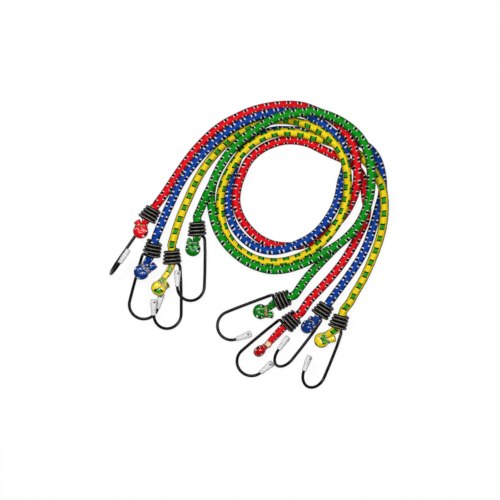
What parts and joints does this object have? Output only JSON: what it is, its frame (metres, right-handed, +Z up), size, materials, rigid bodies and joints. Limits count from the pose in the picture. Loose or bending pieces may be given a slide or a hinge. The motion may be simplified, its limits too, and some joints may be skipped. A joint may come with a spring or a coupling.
{
  "type": "bungee cord set",
  "caption": "Coiled set of elastic bungee cords in coloured braided sleeves, each with a coated wire hook with a capped tip at both ends, for tying down loads.",
  "frame": {"origin": "centre of the lying set's footprint, on the surface that it lies on", "axes": "+Z up from the surface, +Y towards the top of the picture, +X to its right"},
  "size_m": [0.2505, 0.259, 0.0307],
  "materials": {
    "red_braid": "satin braid with black and white ticks",
    "blue_braid": "satin braid with black and white ticks",
    "yellow_braid": "satin braid with green and black ticks",
    "green_braid": "satin braid with black and white ticks",
    "core_rubber": "matt latex",
    "hook_coat": "gloss black coating on steel wire",
    "tip_cap": "milky soft plastic",
    "ring_wire": "plain wire"
  },
  "bodies": {
    "cords": {"red_sleeve": "red_braid", "red_core": "core_rubber", "blue_sleeve": "blue_braid", "blue_core": "core_rubber", "yellow_sleeve": "yellow_braid", "yellow_core": "core_rubber", "green_sleeve": "green_braid", "green_core": "core_rubber", "red_left_knot": "red_braid", "red_left_core_end": "core_rubber", "red_left_ring": "ring_wire", "blue_left_knot": "blue_braid", "blue_left_core_end": "core_rubber", "blue_left_ring": "ring_wire", "yellow_left_knot": "yellow_braid", "yellow_left_core_end": "core_rubber", "yellow_left_ring": "ring_wire", "green_left_knot": "green_braid", "green_left_core_end": "core_rubber", "green_left_ring": "ring_wire"},
    "red_left_hook_body": {"red_left_hook": "hook_coat", "red_left_tip": "tip_cap"},
    "red_right_end": {"red_right_knot": "red_braid", "red_right_core_end": "core_rubber", "red_right_ring": "ring_wire"},
    "red_right_hook_body": {"red_right_hook": "hook_coat", "red_right_tip": "tip_cap"},
    "blue_left_hook_body": {"blue_left_hook": "hook_coat", "blue_left_tip": "tip_cap"},
    "blue_right_end": {"blue_right_knot": "blue_braid", "blue_right_core_end": "core_rubber", "blue_right_ring": "ring_wire"},
    "blue_right_hook_body": {"blue_right_hook": "hook_coat", "blue_right_tip": "tip_cap"},
    "yellow_left_hook_body": {"yellow_left_hook": "hook_coat", "yellow_left_tip": "tip_cap"},
    "yellow_right_end": {"yellow_right_knot": "yellow_braid", "yellow_right_core_end": "core_rubber", "yellow_right_ring": "ring_wire"},
    "yellow_right_hook_body": {"yellow_right_hook": "hook_coat", "yellow_right_tip": "tip_cap"},
    "green_left_hook_body": {"green_left_hook": "hook_coat", "green_left_tip": "tip_cap"},
    "green_right_end": {"green_right_knot": "green_braid", "green_right_core_end": "core_rubber", "green_right_ring": "ring_wire"},
    "green_right_hook_body": {"green_right_hook": "hook_coat", "green_right_tip": "tip_cap"}
  },
  "joints": [
    {"name": "red_stretch", "type": "slide", "parent": "cords", "child": "red_right_end", "axis": [-0.769, -0.6392, 0], "range_m": [0, 0.06], "stiffness_N_per_m": 120, "deforming": ["red_sleeve", "red_core"]},
    {"name": "blue_stretch", "type": "slide", "parent": "cords", "child": "blue_right_end", "axis": [-0.6, -0.8, 0], "range_m": [0, 0.035], "stiffness_N_per_m": 120, "deforming": ["blue_sleeve", "blue_core"]},
    {"name": "yellow_stretch", "type": "slide", "parent": "cords", "child": "yellow_right_end", "axis": [-0.36, -0.933, 0], "range_m": [0, 0.06], "stiffness_N_per_m": 120, "deforming": ["yellow_sleeve", "yellow_core"]},
    {"name": "green_stretch", "type": "slide", "parent": "cords", "child": "green_right_end", "axis": [-0.9341, -0.357, 0], "range_m": [0, 0.06], "stiffness_N_per_m": 120, "deforming": ["green_sleeve", "green_core"]},
    {"name": "red_left_swivel", "type": "hinge", "parent": "cords", "child": "red_left_hook_body", "pos_m": [-0.08838, 0.0279, 0.0091], "axis": [-0.5593, -0.829, 0], "range_deg": [-20, 50]},
    {"name": "blue_left_swivel", "type": "hinge", "parent": "cords", "child": "blue_left_hook_body", "pos_m": [-0.08622, -0.00315, 0.0101], "axis": [-0.2677, -0.9546, -0.1305], "range_deg": [-15, 5]},
    {"name": "yellow_left_swivel", "type": "hinge", "parent": "cords", "child": "yellow_left_hook_body", "pos_m": [-0.06903, -0.0108, 0.0099], "axis": [-0.0199, 0.9938, 0.1097], "range_deg": [0, 90]},
    {"name": "green_left_swivel", "type": "hinge", "parent": "cords", "child": "green_left_hook_body", "pos_m": [-0.04653, 0.0144, 0.0095], "axis": [0.01, 0.9989, 0.0454], "range_deg": [-15, 60]},
    {"name": "green_right_swivel", "type": "hinge", "parent": "green_right_end", "child": "green_right_hook_body", "pos_m": [0.03015, -0.04905, 0.0101], "axis": [-0.9261, -0.354, -0.1305], "range_deg": [-90, 70]},
    {"name": "red_right_swivel", "type": "hinge", "parent": "red_right_end", "child": "red_right_hook_body", "pos_m": [0.0378, -0.06795, 0.0101], "axis": [-0.7625, -0.6337, -0.1305], "range_deg": [-60, 90]},
    {"name": "blue_right_swivel", "type": "hinge", "parent": "blue_right_end", "child": "blue_right_hook_body", "pos_m": [0.0666, -0.0585, 0.0094], "axis": [0.5996, 0.7995, 0.0349], "range_deg": [-20, 25]},
    {"name": "yellow_right_swivel", "type": "hinge", "parent": "yellow_right_end", "child": "yellow_right_hook_body", "pos_m": [0.081, -0.06885, 0.0096], "axis": [0.3593, 0.9313, 0.0593], "range_deg": [-90, 55]}
  ]
}
